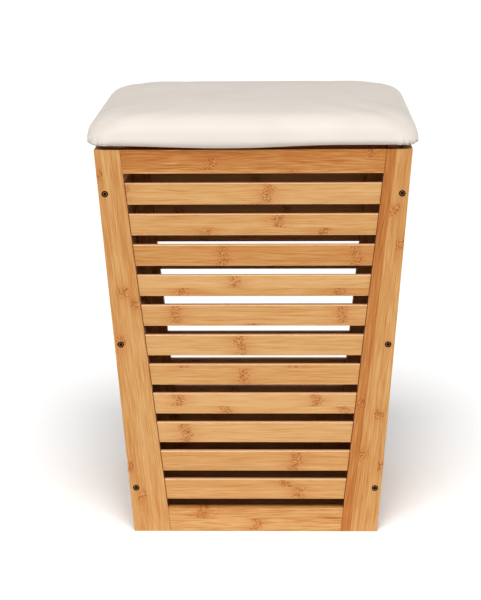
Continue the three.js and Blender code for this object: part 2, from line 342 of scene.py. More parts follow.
# Each scale is how many of the noise's features go to a metre, along and across the grain.
SWAY, SWAY_SCALE = 4.5 * MM, (14, 60)  # how far the grain wanders sideways
RIPPLE, RIPPLE_SCALE = 7.5 * MM, (140, 170)  # how far it ripples around a knot
CROOK, CROOK_SCALE = 16 * MM, 110  # how crooked the band of a knot is across its strip
FLECK_SCALE = (420, 520)
KNOT_CORE = (2 * MM, 10.5 * MM)  # distances from its middle where a knot starts to fade, and is gone
KNOT_REACH = 32 * MM  # how far the haze around it goes
KNOT_PHASES = 1.7  # the knots of a strip are pushed along it by up to this many metres
LEAST_GAP = 0.75  # of the usual gap between knots. The most is 1 more than that
SEED_DEPTH = 3.1  # how far apart the seeds lie in the streaks' noise
SEED_SHIFT = -0.37  # of a strip, for each unit of the seed, where the strips aren't counted from an edge

# What differs between the kinds of piece: the width of the laminated strips, how far their tones differ, the
# usual gap between the knots of one strip, and how strong the streaks are.
STILE_WOOD = {"strip": 12.5 * MM, "spread": 0.10, "knot_gap": 260 * MM, "grain": 1.0}
RAIL_WOOD = {"strip": 15.5 * MM, "spread": 0.10, "knot_gap": 220 * MM, "grain": 1.5}
SLAT_WOOD = {"strip": 34 * MM, "spread": 0.10, "knot_gap": 170 * MM, "grain": 0.85}
CLEAT_WOOD = {"strip": 15.5 * MM, "spread": 0.25, "knot_gap": 160 * MM, "grain": 1.0}


def grain_noise(sh, along, across, seed, scale, detail=1.0):
    """Noise over a place along and across the grain."""
    return sh.noise(sh.join(sh.times(along, scale[0]), sh.times(across, scale[1]), seed), detail=detail)


def streak_noise(sh, place, seed, streak):
    """One kind of streak, over a place along, across and out of the grain."""
    along, across, outward = place
    drawn_out = sh.join(
        sh.times(along, 1 / streak["length"]),
        sh.times(across, 1 / streak["width"]),
        sh.add(sh.times(outward, 1 / streak["width"]), seed * SEED_DEPTH),
    )
    return sh.noise(drawn_out, detail=streak["detail"], roughness=0.6)


def to_knot(sh, along, across, seed, phase, gap):
    """The distance to the nearest knot of the strip, and the place along the grain bent as the knot is."""
    crook = sh.noise(sh.join(sh.times(across, CROOK_SCALE), seed, 0.0), detail=1.0)
    bent = sh.add(along, sh.times(sh.minus(crook, 0.5), CROOK))
    half_gap = sh.times(gap, 0.5)
    from_knot = sh.math("WRAP", sh.add(bent, phase), half_gap, sh.times(half_gap, -1.0))
    return sh.size(from_knot), bent


def wander(sh, along, across, seed, around):
    """The place across the grain, as the grain sways, and ripples around a knot."""
    sway = grain_noise(sh, along, across, seed, SWAY_SCALE)
    ripple = grain_noise(sh, along, across, seed, RIPPLE_SCALE)
    swayed = sh.times(sh.minus(sway, 0.5), SWAY)
    rippled = sh.times(sh.times(sh.minus(ripple, 0.5), RIPPLE), around)
    return sh.add(across, swayed, rippled)


def add_knots(sh, colour, fleck, near, around):
    """The wood with its knots: clusters of small dark flecks in an orange haze, with paler flecks between. It
    also returns how dark the flecks are."""
    dark_fleck = sh.times(sh.span(fleck, 0.50, 0.60, smooth=True), near)
    pale_fleck = sh.times(sh.span(fleck, 0.42, 0.34, smooth=True), near)
    layers = (
        (around, 0.30, KNOT_HALO),
        (near, 0.30, KNOT_HALO),
        (dark_fleck, 0.80, KNOT_DARK),
        (pale_fleck, 0.50, BAMBOO_LIGHT),
    )
    for share, strength, tint in layers:
        colour = sh.mix(sh.times(share, strength), colour, tint)
    return colour, dark_fleck


def bamboo(name, along, outward, seed, wood, shift=0.0, painted_top_highlight=False, first_strip=None):
    """Lacquered laminated bamboo with its grain along `along`. `shift` makes the whole piece darker (below 0)
    or paler, and its upper faces can get a painted highlight, paler the more they face up. `first_strip` is
    where the strips are counted from, across the grain, the side they lie to (1 or -1), and how much darker
    the first one is."""
    sh = Shader(name, roughness=0.45)
    across = outward.cross(along).normalized()
    place = sh.place()
    x, y, z = [sh.dot(place, direction) for direction in (along, across, outward)]

    # The laminated strips: each has its own tone, and its own phase and gap of knots.
    start, side, darker = first_strip or (SEED_SHIFT * seed * wood["strip"], 1, 0.0)
    strip_index = sh.math("FLOOR", sh.over(sh.minus(y, start), side * wood["strip"]))
    chance = sh.node("TexWhiteNoise", sh.join(strip_index, seed, 0.0), noise_dimensions="3D")
    picked = sh.split(chance.outputs["Color"])
    phase = sh.times(picked[0], KNOT_PHASES)
    gap = sh.times(sh.add(picked[1], LEAST_GAP), wood["knot_gap"])

    distance, bent = to_knot(sh, x, y, seed, phase, gap)
    near = sh.span(distance, *KNOT_CORE, 1.0, 0.0, smooth=True)
    around = sh.span(distance, 0.0, KNOT_REACH, 1.0, 0.0, smooth=True)

    grain_place = (x, wander(sh, x, y, seed, around), z)
    layers = {kind: streak_noise(sh, grain_place, seed, streak) for kind, streak in STREAKS.items()}
    tone = 0.5
    for kind, layer in layers.items():
        tone = sh.add(tone, sh.times(sh.minus(layer, 0.5), STREAKS[kind]["weight"] * wood["grain"]))
    tone = sh.add(tone, sh.times(sh.minus(picked[2], 0.5), wood["spread"]), shift)
    is_first = sh.math("COMPARE", strip_index, 0.0, 0.5)
    tone = sh.minus(tone, sh.times(is_first, darker))

    fleck = grain_noise(sh, bent, y, seed, FLECK_SCALE, detail=2.0)
    colour, dark_fleck = add_knots(sh, sh.ramp(tone, *BAMBOO_TONES), fleck, near, around)
    if painted_top_highlight:
        # Painted highlight: the more a face looks up, the paler it is.
        facing_up = sh.span(sh.split(sh.normal())[2], 0.35, 0.9)
        colour = sh.mix(sh.times(facing_up, 0.85), colour, EDGE_HIGHLIGHT)
    sh.colour(colour)
    sh.roughness(sh.span(layers["bands"], 0.3, 0.7, 0.50, 0.38))
    sh.bump(sh.add(sh.times(layers["fibres"], 0.6), sh.times(dark_fleck, -0.8)), 0.10 * MM, 0.5)
    sh.surface.inputs["Coat Weight"].default_value = 0.15
    sh.surface.inputs["Coat Roughness"].default_value = 0.25
    return sh.material


def edge_highlight_and_shade(name, deep, pale, end):
    """An eased edge with a painted highlight, mottled between `deep` and `pale`. Where it doesn't face up or
    down, as at a slat's ends, it is `end` instead, which on the slats is a painted shade where they meet the
    stiles."""
    sh = Shader(name, roughness=0.5)
    tone = sh.noise(sh.place(), scale=90.0, detail=3.0)
    level = sh.span(sh.size(sh.split(sh.normal())[2]), 0.15, 0.35)
    sh.colour(sh.mix(level, end, sh.ramp(tone, (0.30, deep), (0.55, pale))))
    sh.bump(sh.noise(sh.place(), scale=700.0, detail=2.0), 0.06 * MM, 0.4)
    return sh.material


# ---------------------------------------------------------------- the body's stiles, rails and slats

BODY_SEED = 20
SEEDS = (1, 60)  # each piece's own seed is between these
FRAME_EASING = 0.4 * MM
SLAT_EASING = 0.7 * MM
TOP_RAIL_SHIFT = -0.115  # the top rails are darker
SLAT_SHIFTS = (0.0, 0.06)  # the slats are paler, each by its own amount
INNER_STRIP_TONE = 0.03  # how much darker a stile's inner strip is, but for the stiles below
INNER_STRIP_TONES = {"front_right_stile": 0.20, "back_left_stile": 0.09, "left_back_stile": 0.08}


def stile_bamboo(name, level, outward, seed):
    """Bamboo whose grain and strips follow a stile's inner edge."""
    upper, lower = inner_edge(name, level, outward)
    along = (upper - lower).normalized()
    across = outward.cross(along).normalized()
    start = upper.dot(across)
    side = 1 if end_centre(name, True).dot(across) > start else -1
    first_strip = (start, side, INNER_STRIP_TONES.get(name, INNER_STRIP_TONE))
    return bamboo(name, along, outward, seed, STILE_WOOD, first_strip=first_strip)


def dress_body():
    """Bamboo for every stile, rail and slat, each piece with its own grain and tone."""
    rng = random.Random(BODY_SEED)
    # The eased edges get a painted highlight, and the edges across the slats' ends get painted shade.
    highlight_edge = edge_highlight_and_shade("pale painted highlight edge", BAMBOO_LIGHT, EDGE_HIGHLIGHT, END_SHADE)
    soft_highlight_edge = edge_highlight_and_shade("soft painted highlight edge", BAMBOO_MID, BAMBOO_LIGHT, BAMBOO_MID)
    for name in sorted(nodes):
        panel = name.split("_")[0]
        if panel not in OUTWARD or "hinge" in name or "screw" in name:
            continue
        piece, outward = nodes[name], OUTWARD[panel]
        level = X_AXIS if panel in ("front", "back") else Y_AXIS
        seed = rng.uniform(*SEEDS)
        if "stile" in name:
            put(piece, stile_bamboo(name, level, outward, seed), soft_highlight_edge)
            ease_edges(piece, FRAME_EASING)
        elif "rail" in name:
            shift = TOP_RAIL_SHIFT if "top" in name else 0.0
            put(piece, bamboo(name, level, outward, seed, RAIL_WOOD, shift=shift))
            ease_edges(piece, FRAME_EASING)
        else:
            shift = rng.uniform(*SLAT_SHIFTS)
            put(piece, bamboo(name, level, outward, seed, SLAT_WOOD, shift=shift, painted_top_highlight=True), highlight_edge)
            ease_edges(piece, SLAT_EASING)


# ---------------------------------------------------------------- the two boards, and the cleats of the base

PLY_DEEP = srgb(168, 129, 87)
PLY_MID = srgb(184, 149, 106)
PLY_PALE = srgb(196, 164, 125)
PLY_LAYER = 1.5 * MM
PLY_SCALES = (9.0, 260.0, 260.0)  # of the grain's noise, along X, Y and Z
BOARD_EASING = 0.5 * MM
CLEAT_EASING = 0.6 * MM
CLEAT_SEED = 8


def plywood(name):
    """Pale plywood: a plain face veneer, and plies that show on the edges."""
    sh = Shader(name, roughness=0.6)
    height = sh.split(sh.place())[2]
    grain = sh.noise(sh.stretched(PLY_SCALES), detail=3.0, distortion=0.4)
    face = sh.ramp(grain, (0.30, PLY_DEEP), (0.52, PLY_MID), (0.72, PLY_PALE))
    ply = sh.math("FLOORED_MODULO", sh.over(height, PLY_LAYER), 2.0)
    edge = sh.mix(sh.math("GREATER_THAN", ply, 1.0), PLY_PALE, PLY_DEEP)
    flat = sh.span(sh.size(sh.split(sh.normal())[2]), 0.5, 0.7)
    sh.colour(sh.mix(flat, edge, face))
    sh.roughness(sh.span(grain, 0.3, 0.7, 0.62, 0.5))
    sh.bump(grain, 0.08 * MM, 0.4)
    return sh.material


def dress_boards():
    """Plywood for the two boards, and bamboo for the cleats."""
    for name in ("base_board", "lid_board"):
        put(nodes[name], plywood(name + " plywood"))
        ease_edges(nodes[name], BOARD_EASING)
    rng = random.Random(CLEAT_SEED)
    for name in ("base_cleat_front", "base_cleat_back"):
        put(nodes[name], bamboo(name, X_AXIS, Z_AXIS, rng.uniform(*SEEDS), CLEAT_WOOD))
        ease_edges(nodes[name], CLEAT_EASING)


# ---------------------------------------------------------------- corner screws

BRONZE_DARK = srgb(74, 50, 34)
BRONZE_DEEP = srgb(52, 34, 24)
BRONZE_HIGHLIGHT = srgb(196, 164, 134)
# The ring of painted highlight round the socket:
HIGHLIGHT_RADIUS = 2.3 * MM  # of the bright ring
HIGHLIGHT_WIDTH = (0.2 * MM, 0.6 * MM)  # distances from that radius where the ring starts to fade, and is gone
HIGHLIGHT_DEPTH = (-0.4 * MM, 0.2 * MM)  # it fades in between these heights over the middle of the face
CORNER_SCREW_EASING = 0.25 * MM


def screw_face(screw, outward):
    """The middle of a corner screw's face."""
    reach = max(v.co.dot(outward) for v in screw.data.vertices)
    rim = [v.co for v in screw.data.vertices if v.co.dot(outward) > reach - SAME_LEVEL]
    return sum(rim, Vector()) / len(rim)


def screw_metal(name, centre, axis):
    """Dark bronze, with a painted highlight in a ring round the driver's socket."""
    sh = Shader(name, roughness=0.4, metallic=1.0)
    from_centre = sh.vector("SUBTRACT", sh.place(), centre).outputs[0]
    along = sh.dot(from_centre, axis)
    square = sh.minus(sh.dot(from_centre, from_centre), sh.times(along, along))
    radius = sh.math("SQRT", sh.math("MAXIMUM", square, 0.0))
    # Painted highlight: a bright ring round the socket.
    ring = sh.minus(1.0, sh.span(sh.size(sh.minus(radius, HIGHLIGHT_RADIUS)), *HIGHLIGHT_WIDTH))
    painted_ring = sh.times(ring, sh.span(along, *HIGHLIGHT_DEPTH))
    mottle = sh.noise(sh.place(), scale=600.0, detail=3.0)
    dark = sh.mix(sh.span(mottle, 0.35, 0.65), BRONZE_DARK, BRONZE_DEEP)
    sh.colour(sh.mix(sh.times(painted_ring, 0.85), dark, BRONZE_HIGHLIGHT))
    sh.roughness(sh.span(mottle, 0.3, 0.7, 0.30, 0.5))
    sh.bump(mottle, 0.05 * MM, 0.4)
    return sh.material


def dress_corner_screw(screw, outward):
    """Bronze for one corner screw, whose face looks along `outward`."""
    put(screw, screw_metal(screw.name, screw_face(screw, outward), outward))
    ease_edges(screw, CORNER_SCREW_EASING)


def add_corner_screws():
    """Bronze for the front panel's corner screws, and the same screws mirrored into the back panel."""
    for name in sorted(nodes):
        if not name.startswith("front_screw"):
            continue
        bm = bmesh.new()
        bm.from_mesh(nodes[name].data)
        bmesh.ops.scale(bm, vec=(1, -1, 1), verts=bm.verts)
        bmesh.ops.reverse_faces(bm, faces=bm.faces)
        dress_corner_screw(nodes[name], OUTWARD["front"])
        screw = new_piece(name.replace("front", "back"), bm)
        dress_corner_screw(screw, OUTWARD["back"])
        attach(screw, "frame")


# ---------------------------------------------------------------- hinges

STEEL_COLOUR = srgb(192, 193, 194)
STEEL_SHADE = 0.82  # how dark its mottle is
STEEL_ROUGHNESS = 0.36
HINGE_EASING = 0.3 * MM
SCREW_RADIUS = 3.0 * MM
SCREW_HEIGHT = 0.9 * MM
SCREW_SIDES = 32
# The head's outline from below its rim to its middle, as shares of its radius and height.
SCREW_PROFILE = ((1.0, -0.4), (1.0, 0.15), (0.94, 0.45), (0.78, 0.75), (0.55, 0.93), (0.28, 1.0))
CROSS_REACH, CROSS_HALF_WIDTH = 0.56 * SCREW_RADIUS, 0.13 * SCREW_RADIUS
CROSS_TOP, CROSS_BOTTOM = 1.5 * SCREW_HEIGHT, 0.2 * SCREW_HEIGHT
CROSS_TAPER = 0.72  # how wide its bottom is, as a share of its top
SCREW_SHARP = math.radians(35)
SCREW_TURNS = (0, 1.5)  # radians
HINGE_SCREW_SEED = 12
SCREW_OFFSETS = {"outer": -12 * MM, "inner": 12 * MM}  # to the side of the leaf's middle
FRAME_SCREW_RISE = 9 * MM  # above the frame leaf's lower end
FRAME_LEAF_FACE = 1.6 * MM  # how far the frame leaf stands out from the back top rail
LID_SCREW_INSET = 8 * MM  # from the lid leaf's front end
LID_LEAF_UNDER = 2.8 * MM  # above the frame


def satin_steel():
    """Steel with a faint mottle and a fine grain."""
    sh = Shader("satin steel", roughness=STEEL_ROUGHNESS, metallic=0.75)
    grain = sh.noise(sh.place(), scale=900.0, detail=3.0)
    mottle = sh.noise(sh.place(), scale=260.0, detail=2.0)
    dark = tuple(value * STEEL_SHADE for value in STEEL_COLOUR[:3]) + (1.0,)
    sh.colour(sh.mix(sh.span(mottle, 0.35, 0.65), STEEL_COLOUR, dark))
    sh.roughness(sh.span(grain, 0.3, 0.7, STEEL_ROUGHNESS - 0.08, STEEL_ROUGHNESS + 0.14))
    sh.bump(grain, 0.05 * MM, 0.4)
    return sh.material


def dress_hinges(steel):
    """Steel for the leaves and pins."""
    for name in sorted(nodes):
        if "hinge" in name:
            put(nodes[name], steel)
            ease_edges(nodes[name], HINGE_EASING)


def domed_head(name):
    """A low domed screw head round the Z axis."""
    bm = bmesh.new()
    rings = []
    for share, height in SCREW_PROFILE:
        radius = SCREW_RADIUS * share
        ring = []
        for i in range(SCREW_SIDES):
            angle = i / SCREW_SIDES * 2 * math.pi
            place = (radius * math.cos(angle), radius * math.sin(angle), SCREW_HEIGHT * height)
            ring.append(bm.verts.new(place))
        rings.append(ring)
    join_rings(bm, rings)
    return new_piece(name, bm)


def cross_recess(name):
    """The tapered cross that a driver fits, as a cutter."""
    reach, half = CROSS_REACH, CROSS_HALF_WIDTH
    outline = []
    for quarter in range(4):
        turn = Matrix.Rotation(quarter * math.pi / 2, 3, "Z")
        outline += [turn @ Vector(p) for p in ((half, -half, 0), (reach, -half, 0), (reach, half, 0))]
    bm = bmesh.new()
    top = [bm.verts.new((p.x, p.y, CROSS_TOP)) for p in outline]
    low = [bm.verts.new((p.x * CROSS_TAPER, p.y * CROSS_TAPER, CROSS_BOTTOM)) for p in outline]
    join_rings(bm, [low, top])
    return new_piece(name, bm)


def cross_head_screw(name, place, outward, turn, steel):
    """A screw's head with a cross recess, facing along `outward`, and turned about its axis by `turn`."""
    head = domed_head(name)
    recess = cross_recess(name + "_recess")
    bake(head, "BOOLEAN", object=recess, operation="DIFFERENCE", solver="EXACT")
    bpy.data.objects.remove(recess)
    to_place = Matrix.Translation(place) @ outward.to_track_quat("Z", "Y").to_matrix().to_4x4()
    head.data.transform(to_place @ Matrix.Rotation(turn, 4, "Z"))
    smooth_faces(head)
    head.data.set_sharp_from_angle(angle=SCREW_SHARP)
    put(head, steel)
    return head


def add_hinge_screws(steel):
    """Two screws in each leaf of each hinge."""
    rng = random.Random(HINGE_SCREW_SEED)
    for side in ("left", "right"):
        leaf_low, leaf_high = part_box(f"{side}_hinge_frame_leaf")
        lid_leaf_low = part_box(f"{side}_hinge_lid_leaf")[0]
        level = leaf_low.z + FRAME_SCREW_RISE
        face = rail_back + math.tan(LEAN) * (level - frame_top) + FRAME_LEAF_FACE
        for where, offset in SCREW_OFFSETS.items():
            x = (leaf_low.x + leaf_high.x) / 2 + offset
            name, place = f"{side}_hinge_frame_screw_{where}", Vector((x, face, level))
            head = cross_head_screw(name, place, OUTWARD["back"], rng.uniform(*SCREW_TURNS), steel)
            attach(head, "frame")
            name = f"{side}_hinge_lid_screw_{where}"
            place = Vector((x, lid_leaf_low.y + LID_SCREW_INSET, frame_top + LID_LEAF_UNDER))
            head = cross_head_screw(name, place, DOWN, rng.uniform(*SCREW_TURNS), steel)
            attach(head, "lid")


# ---------------------------------------------------------------- the padded lid's form

CORNER_LOW, CORNER_HIGH = 28 * MM, 50 * MM  # corner radius at the base, and CORNER_BLEND above it and higher
CORNER_BLEND = 22 * MM
CORNER_STEPS = 10
BOTTOM_ROUND, BOTTOM_STEPS = 6 * MM, 3
TOP_ROUND_INSET, TOP_ROUND_HEIGHT, TOP_STEPS = 34 * MM, 31 * MM, 10
CROWN_INSET, CROWN_HEIGHT, CROWN_STEPS = 110 * MM, 1.8 * MM, 4  # the top goes on rising this far in
GROWTH = 0.3 * MM  # how far the cover stands off the plain pad all round
START_BELOW = 2.4 * MM  # how much lower than the finished pad the unpressed one is
VOXEL = 4.5 * MM
SMOOTHING_STEPS = 6
HELD_HEIGHTS = (17.6 * MM, 6.6 * MM)  # the cover is free above the first height, and held below the second
SWELL = 4.5 * MM  # how far the pressed cloth may move at most
CLOTH_STEPS = 20
CLOTH_SETTINGS = {
    "quality": 6,
    "mass": 0.25,
    "tension_stiffness": 18,
    "compression_stiffness": 18,
    "bending_stiffness": 1.2,
    "use_pressure": True,
    "uniform_pressure_force": 4,
}


def share_between(value, low, high):
    """0 at low and beyond it, 1 at high and beyond it, and straight between them."""
    return min(1, max(0, (value - low) / (high - low)))


def pad_ring(bm, inset, height):
    """One closed ring of the pad's outline, with corners that grow fuller with height."""
    share = min(1, height / CORNER_BLEND)
    radius = CORNER_LOW + (CORNER_HIGH - CORNER_LOW) * share
    x, y = half_width - inset - radius, half_depth - inset - radius
    ring = []
    for corner, (side_x, side_y) in enumerate(((1, 1), (-1, 1), (-1, -1), (1, -1))):
        for step in range(CORNER_STEPS + 1):
            angle = (corner + step / CORNER_STEPS) * math.pi / 2
            place = (side_x * x + radius * math.cos(angle), side_y * y + radius * math.sin(angle))
            ring.append(bm.verts.new((*place, lid_low.z + height)))
    return ring


def pad_levels(below):
    """The inset and height of each ring, upwards: a small round edge, a large one, and the crown. The large
    one's top is lower by `below`."""
    levels = []
    low_round = BOTTOM_ROUND + GROWTH
    for step in range(BOTTOM_STEPS + 1):
        angle = step / BOTTOM_STEPS * math.pi / 2
        inset = low_round * (1 - math.sin(angle)) - GROWTH
        levels.append((inset, BOTTOM_ROUND - low_round * math.cos(angle)))
    wide, tall = TOP_ROUND_INSET + GROWTH, TOP_ROUND_HEIGHT + GROWTH - below
    for step in range(TOP_STEPS + 1):
        angle = step / TOP_STEPS * math.pi / 2
        height = lid_height - TOP_ROUND_HEIGHT + tall * math.sin(angle)
        levels.append((wide * (1 - math.cos(angle)) - GROWTH, height))
    for step in range(1, CROWN_STEPS + 1):
        share = step / CROWN_STEPS
        rise = CROWN_HEIGHT * math.sin(share * math.pi / 2)
        levels.append((TOP_ROUND_INSET + (CROWN_INSET - TOP_ROUND_INSET) * share, height + rise))
    return levels


def pad_form(below):
    """The pad as one closed skin, lower than the finished one by `below`."""
    bm = bmesh.new()
    join_rings(bm, [pad_ring(bm, inset, height) for inset, height in pad_levels(below)])
    return new_piece("lid_cushion", bm)


def press_cloth(piece):
    """Blows the cover up a little over its foam. Its lower edge is held to the board."""
    held = piece.vertex_groups.new(name="held")
    for vertex in piece.data.vertices:
        held.add([vertex.index], share_between(vertex.co.z - lid_low.z, *HELD_HEIGHTS), "REPLACE")
    start = [v.co.copy() for v in piece.data.vertices]
    cloth = piece.modifiers.new("cloth", "CLOTH")
    for key, value in CLOTH_SETTINGS.items():
        setattr(cloth.settings, key, value)
    cloth.settings.effector_weights.gravity = 0
    cloth.settings.vertex_group_mass = held.name
    scene = bpy.context.scene
    cloth.point_cache.frame_start, cloth.point_cache.frame_end = 1, CLOTH_STEPS
    for step in range(1, CLOTH_STEPS + 1):
        scene.frame_set(step)
    bake(piece)
    moves = [vertex.co - before for vertex, before in zip(piece.data.vertices, start)]
    share = min(1, SWELL / max(move.length for move in moves))
    for vertex, before, move in zip(piece.data.vertices, start, moves):
        vertex.co = before + move * share
    scene.frame_set(1)


# ---------------------------------------------------------------- the padded lid's lower edge

LEFT_FULLNESS, LEFT_REACH = 3.4 * MM, 90 * MM  # how much further the left side stands out half way up
LEFT_HEIGHTS = (-4 * MM, lid_height + 6 * MM)
LOW_FULLNESS, LOW_REACH = 1.7 * MM, 12 * MM  # how much further the cover stands out just above its lower edge
LOW_HEIGHTS = (-7 * MM, 13 * MM)
BULGE_POWER = 1.2  # how pointed a bulge is
SAG = {"front": 3.7 * MM, "side": 2.0 * MM, "back": 0}  # how far the lower edge bellies down in the middle
BELLY_REACH = 150 * MM
BELLY_CENTRE = -35 * MM  # the front bellies down left of its middle
RISE, RISE_REACH = 0.8 * MM, 100 * MM  # how far the front is drawn up, in full this far right of its middle
CORNER_SAG, CORNER_START = 1.6 * MM, 0.90  # the sag at the corners, and the share of a side where it starts
SAG_HEIGHT, SAG_POWER = 18 * MM, 1.5  # the sag ends this high up, and how steeply it fades
SAG_DEPTHS = (14.4 * MM, 6.4 * MM)  # and it fades between these distances in from the side
PLEATS = 5  # to a corner
PLEAT_DEPTH, PLEAT_DROP, PLEAT_HEIGHT = 3.4 * MM, 0.8 * MM, 20 * MM
PLEAT_START = 0.3 * CORNER_LOW  # from the centre of the corner's curve
PLEAT_POWERS = (1.2, 0.5)  # how steeply the pleats fade upwards, and towards the straight sides
PLEAT_CREST = 0.7  # under 1, so the pleats are broad and the folds between them sharp
PLEAT_UNEVENNESS = 0.25  # how far a fold is off its even place, as a share of a pleat
PLEAT_VARIETY = (9, 40)  # how fast that changes round a corner, and from corner to corner
HEM_WIDTH = 32 * MM
CUT_BELOW, OPEN_BELOW = 2 * MM, 3 * MM  # below these, faces are cut at the hem, and taken out inside it
COVER_THICKNESS = 1.2 * MM


def bump_between(value, low, high):
    """0 outside low..high, and a smooth rise to 1 half way between them."""
    return math.sin(share_between(value, low, high) * math.pi) ** BULGE_POWER


def lower_line(along, half_length, side):
    """How far the cover's lower edge lies off the pad's flat underside, `along` the side from its middle. It
    bellies down near the middle, and again where it is gathered at the corners."""
    centre = BELLY_CENTRE if side == "front" else 0
    belly = math.cos(min(1, abs(along - centre) / BELLY_REACH) * math.pi / 2) ** 2
    corner = max(0, (abs(along) / half_length - CORNER_START) / (1 - CORNER_START))
    rise = RISE * share_between(along, 0, RISE_REACH) if side == "front" else 0
    return rise - SAG[side] * belly - CORNER_SAG * corner


def fullness(x, y, height):
    """How much further out a point of the cover goes, on the left side and just above the lower edge."""
    to_side, to_front = half_width - abs(x), half_depth - abs(y)
    out = Vector((0, 0, 0))
    if x < 0:
        out.x -= LEFT_FULLNESS * bump_between(height, *LEFT_HEIGHTS) * max(0, 1 - to_side / LEFT_REACH)
    low = LOW_FULLNESS * bump_between(height, *LOW_HEIGHTS)
    out.x += math.copysign(low * max(0, 1 - to_side / LOW_REACH), x)
    if y < 0:
        out.y -= low * max(0, 1 - to_front / LOW_REACH)
    return out


def sag(x, y, height):
    """How far a point near the lower edge of the cover goes down or up with it."""
    to_side, to_front = half_width - abs(x), half_depth - abs(y)
    if to_side < to_front:
        line = lower_line(y, half_depth, "side")
    else:
        line = lower_line(x, half_width, "front" if y < 0 else "back")
    fade = max(0, 1 - height / SAG_HEIGHT) ** SAG_POWER
    return Vector((0, 0, line * fade * share_between(min(to_side, to_front), *SAG_DEPTHS)))


def gather(x, y, height):
    """How far a point near a lower corner of the cover goes with the pleats there."""
    centre = (math.copysign(half_width - CORNER_LOW, x), math.copysign(half_depth - CORNER_LOW, y))
    out = Vector((x, y)) - Vector(centre)
    if out.x * x < 0 or out.y * y < 0 or out.length < PLEAT_START:
        return Vector((0, 0, 0))
    turn = math.atan2(abs(out.y), abs(out.x)) / (math.pi / 2)
    fade = max(0, 1 - height / PLEAT_HEIGHT) ** PLEAT_POWERS[0] * math.sin(turn * math.pi) ** PLEAT_POWERS[1]
    uneven = PLEAT_UNEVENNESS * math.sin(turn * PLEAT_VARIETY[0] + x * PLEAT_VARIETY[1])
    wave = abs(math.sin((turn * PLEATS + uneven) * math.pi)) ** PLEAT_CREST
    push = out.normalized() * PLEAT_DEPTH * fade * wave
    return Vector((push.x, push.y, -PLEAT_DROP * fade * wave))


def shape_lower_edge(piece):
    """The cover is fuller low down and on the left, bellies down between its corners, and is gathered in
    small pleats at them."""
    for vertex in piece.data.vertices:
        x, y, height = vertex.co.x, vertex.co.y, vertex.co.z - lid_low.z
        vertex.co += fullness(x, y, height) + sag(x, y, height) + gather(x, y, height)


def open_underside(piece):
    """Cuts away the middle of the underside, so that a hem is left under the board, and gives the cover its
    thickness."""
    bm = bmesh.new()
    bm.from_mesh(piece.data)
    edge_x, edge_y = half_width - HEM_WIDTH, half_depth - HEM_WIDTH
    for normal, place in ((X_AXIS, edge_x), (-X_AXIS, edge_x), (Y_AXIS, edge_y), (-Y_AXIS, edge_y)):
        low_faces = [f for f in bm.faces if f.calc_center_median().z < lid_low.z + CUT_BELOW]
        low_edges = list({e for f in low_faces for e in f.edges})
        low_corners = list({v for f in low_faces for v in f.verts})
        geometry = low_faces + low_edges + low_corners
        bmesh.ops.bisect_plane(bm, geom=geometry, plane_co=normal * place, plane_no=normal)
    inside = []
    for face in bm.faces:
        middle = face.calc_center_median()
        if middle.z < lid_low.z + OPEN_BELOW and abs(middle.x) < edge_x and abs(middle.y) < edge_y:
            inside.append(face)
    bmesh.ops.delete(bm, geom=inside, context="FACES")
    bm.to_mesh(piece.data)
    bm.free()
    bake(piece, "SOLIDIFY", thickness=COVER_THICKNESS, offset=-1)


# ---------------------------------------------------------------- the padded lid's cover

COTTON = srgb(217, 209, 201)
COTTON_DEEP = srgb(213, 205, 197)
COTTON_SHADE = srgb(186, 174, 161)
THREAD = 0.8 * MM
SLUB_SCALES = (60.0, 900.0, 900.0)  # of the thick threads' noise, along X, Y and Z


def weave(sh, u, v):
    """The height of the threads that lie on top, over a plane of directions u and v."""
    across, down = sh.over(u, THREAD), sh.over(v, THREAD)
    odd = sh.math("FLOORED_MODULO", sh.add(sh.math("FLOOR", across), sh.math("FLOOR", down)), 2.0)
    warp = sh.math("SINE", sh.times(sh.math("FRACT", across), math.pi))
    weft = sh.math("SINE", sh.times(sh.math("FRACT", down), math.pi))
    return sh.blend(odd, weft, warp)


def cotton():
    """Cream plain-weave cotton, with thick and thin threads, and painted shade in the hollows between them.
    """
    sh = Shader("cream cotton", roughness=0.92)
    x, y, z = sh.split(sh.place())
    facing = sh.split(sh.vector("ABSOLUTE", sh.normal()).outputs[0])
    facing_up = sh.span(facing[2], 0.55, 0.75)
    facing_side = sh.math("GREATER_THAN", facing[0], facing[1])
    upright = sh.blend(facing_side, weave(sh, x, z), weave(sh, y, z))
    height = sh.blend(facing_up, upright, weave(sh, x, y))
    slub = sh.noise(sh.stretched(SLUB_SCALES), detail=2.0)
    cloud = sh.noise(sh.place(), scale=14.0, detail=3.0)
    tone = sh.mix(sh.span(cloud, 0.35, 0.65), COTTON, COTTON_DEEP)
    tone = sh.mix(sh.times(sh.span(slub, 0.45, 0.75), 0.5), tone, COTTON_DEEP)
    # Painted shade in the hollows between the threads.
    tone = sh.mix(sh.times(sh.span(height, 0.5, 0.0), 0.25), tone, COTTON_SHADE)
    sh.colour(tone)
    sh.bump(sh.add(height, sh.times(slub, 0.6)), 0.12 * MM, 0.5)
    sh.surface.inputs["Sheen Weight"].default_value = 0.25
    sh.surface.inputs["Sheen Roughness"].default_value = 0.5
    return sh.material


def add_cushion():
    """The fabric cover over the foam, in place of the plain ones of the CAD model."""
    piece = pad_form(below=START_BELOW)
    bake(piece, "REMESH", mode="VOXEL", voxel_size=VOXEL)
    press_cloth(piece)
    bake(piece, "SMOOTH", factor=0.5, iterations=SMOOTHING_STEPS)
    bake(piece, "SUBSURF", levels=1, render_levels=1)
    shape_lower_edge(piece)
    open_underside(piece)
    smooth_faces(piece)
    put(piece, cotton())
    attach(piece, "lid")
    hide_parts("lid_cover", "lid_foam")


# ---------------------------------------------------------------- staples

